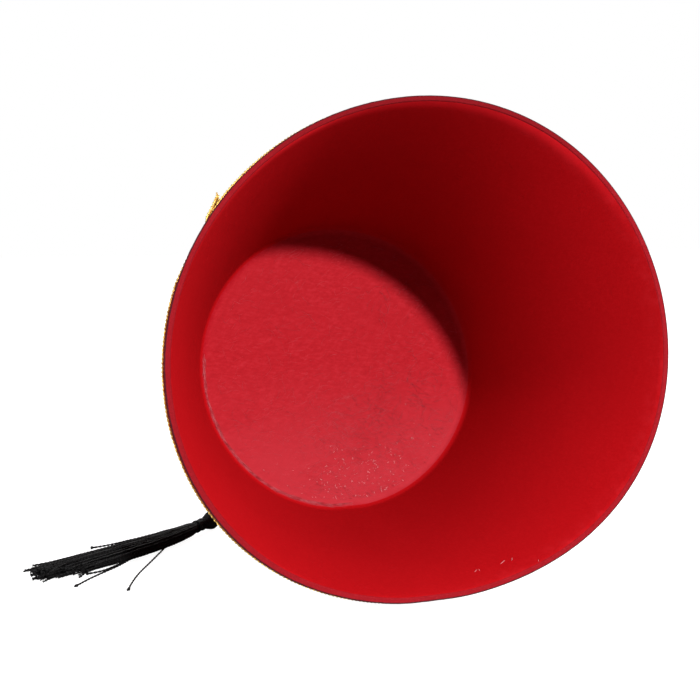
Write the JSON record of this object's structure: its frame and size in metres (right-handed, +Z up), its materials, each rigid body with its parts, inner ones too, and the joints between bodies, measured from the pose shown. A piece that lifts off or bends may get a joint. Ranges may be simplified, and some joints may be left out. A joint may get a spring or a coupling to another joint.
{
  "type": "fez hat with a gold braid and a black tassel",
  "caption": "Moulded red felt fez lying on its side, open at the rim, with a narrow gold braid round the rim and a black tassel on a limp cord from the crown.",
  "frame": {"origin": "on the surface that the hat lies on, below the middle of the hat's own bounding box (felt, braid and button)", "axes": "+Z up; -Y the way the open rim faces as the hat lies on its side, +Y towards the crown; +X across the opening, the hat's longest extent"},
  "size_m": [0.2417, 0.1512, 0.1805],
  "materials": {
    "red_felt": "moulded wool felt, brushed and slightly glossy",
    "gold_braid": "woven metallic gold thread",
    "black_thread": "twisted viscose thread, soft sheen",
    "black_felt": "cloth covered button, matt"
  },
  "bodies": {
    "root": {"felt_body": "red_felt", "gold_braid": "gold_braid", "crown_button": "black_felt", "tassel_cord": "black_thread", "tassel": "black_thread", "tassel_binding": "black_thread"}
  },
  "joints": []
}
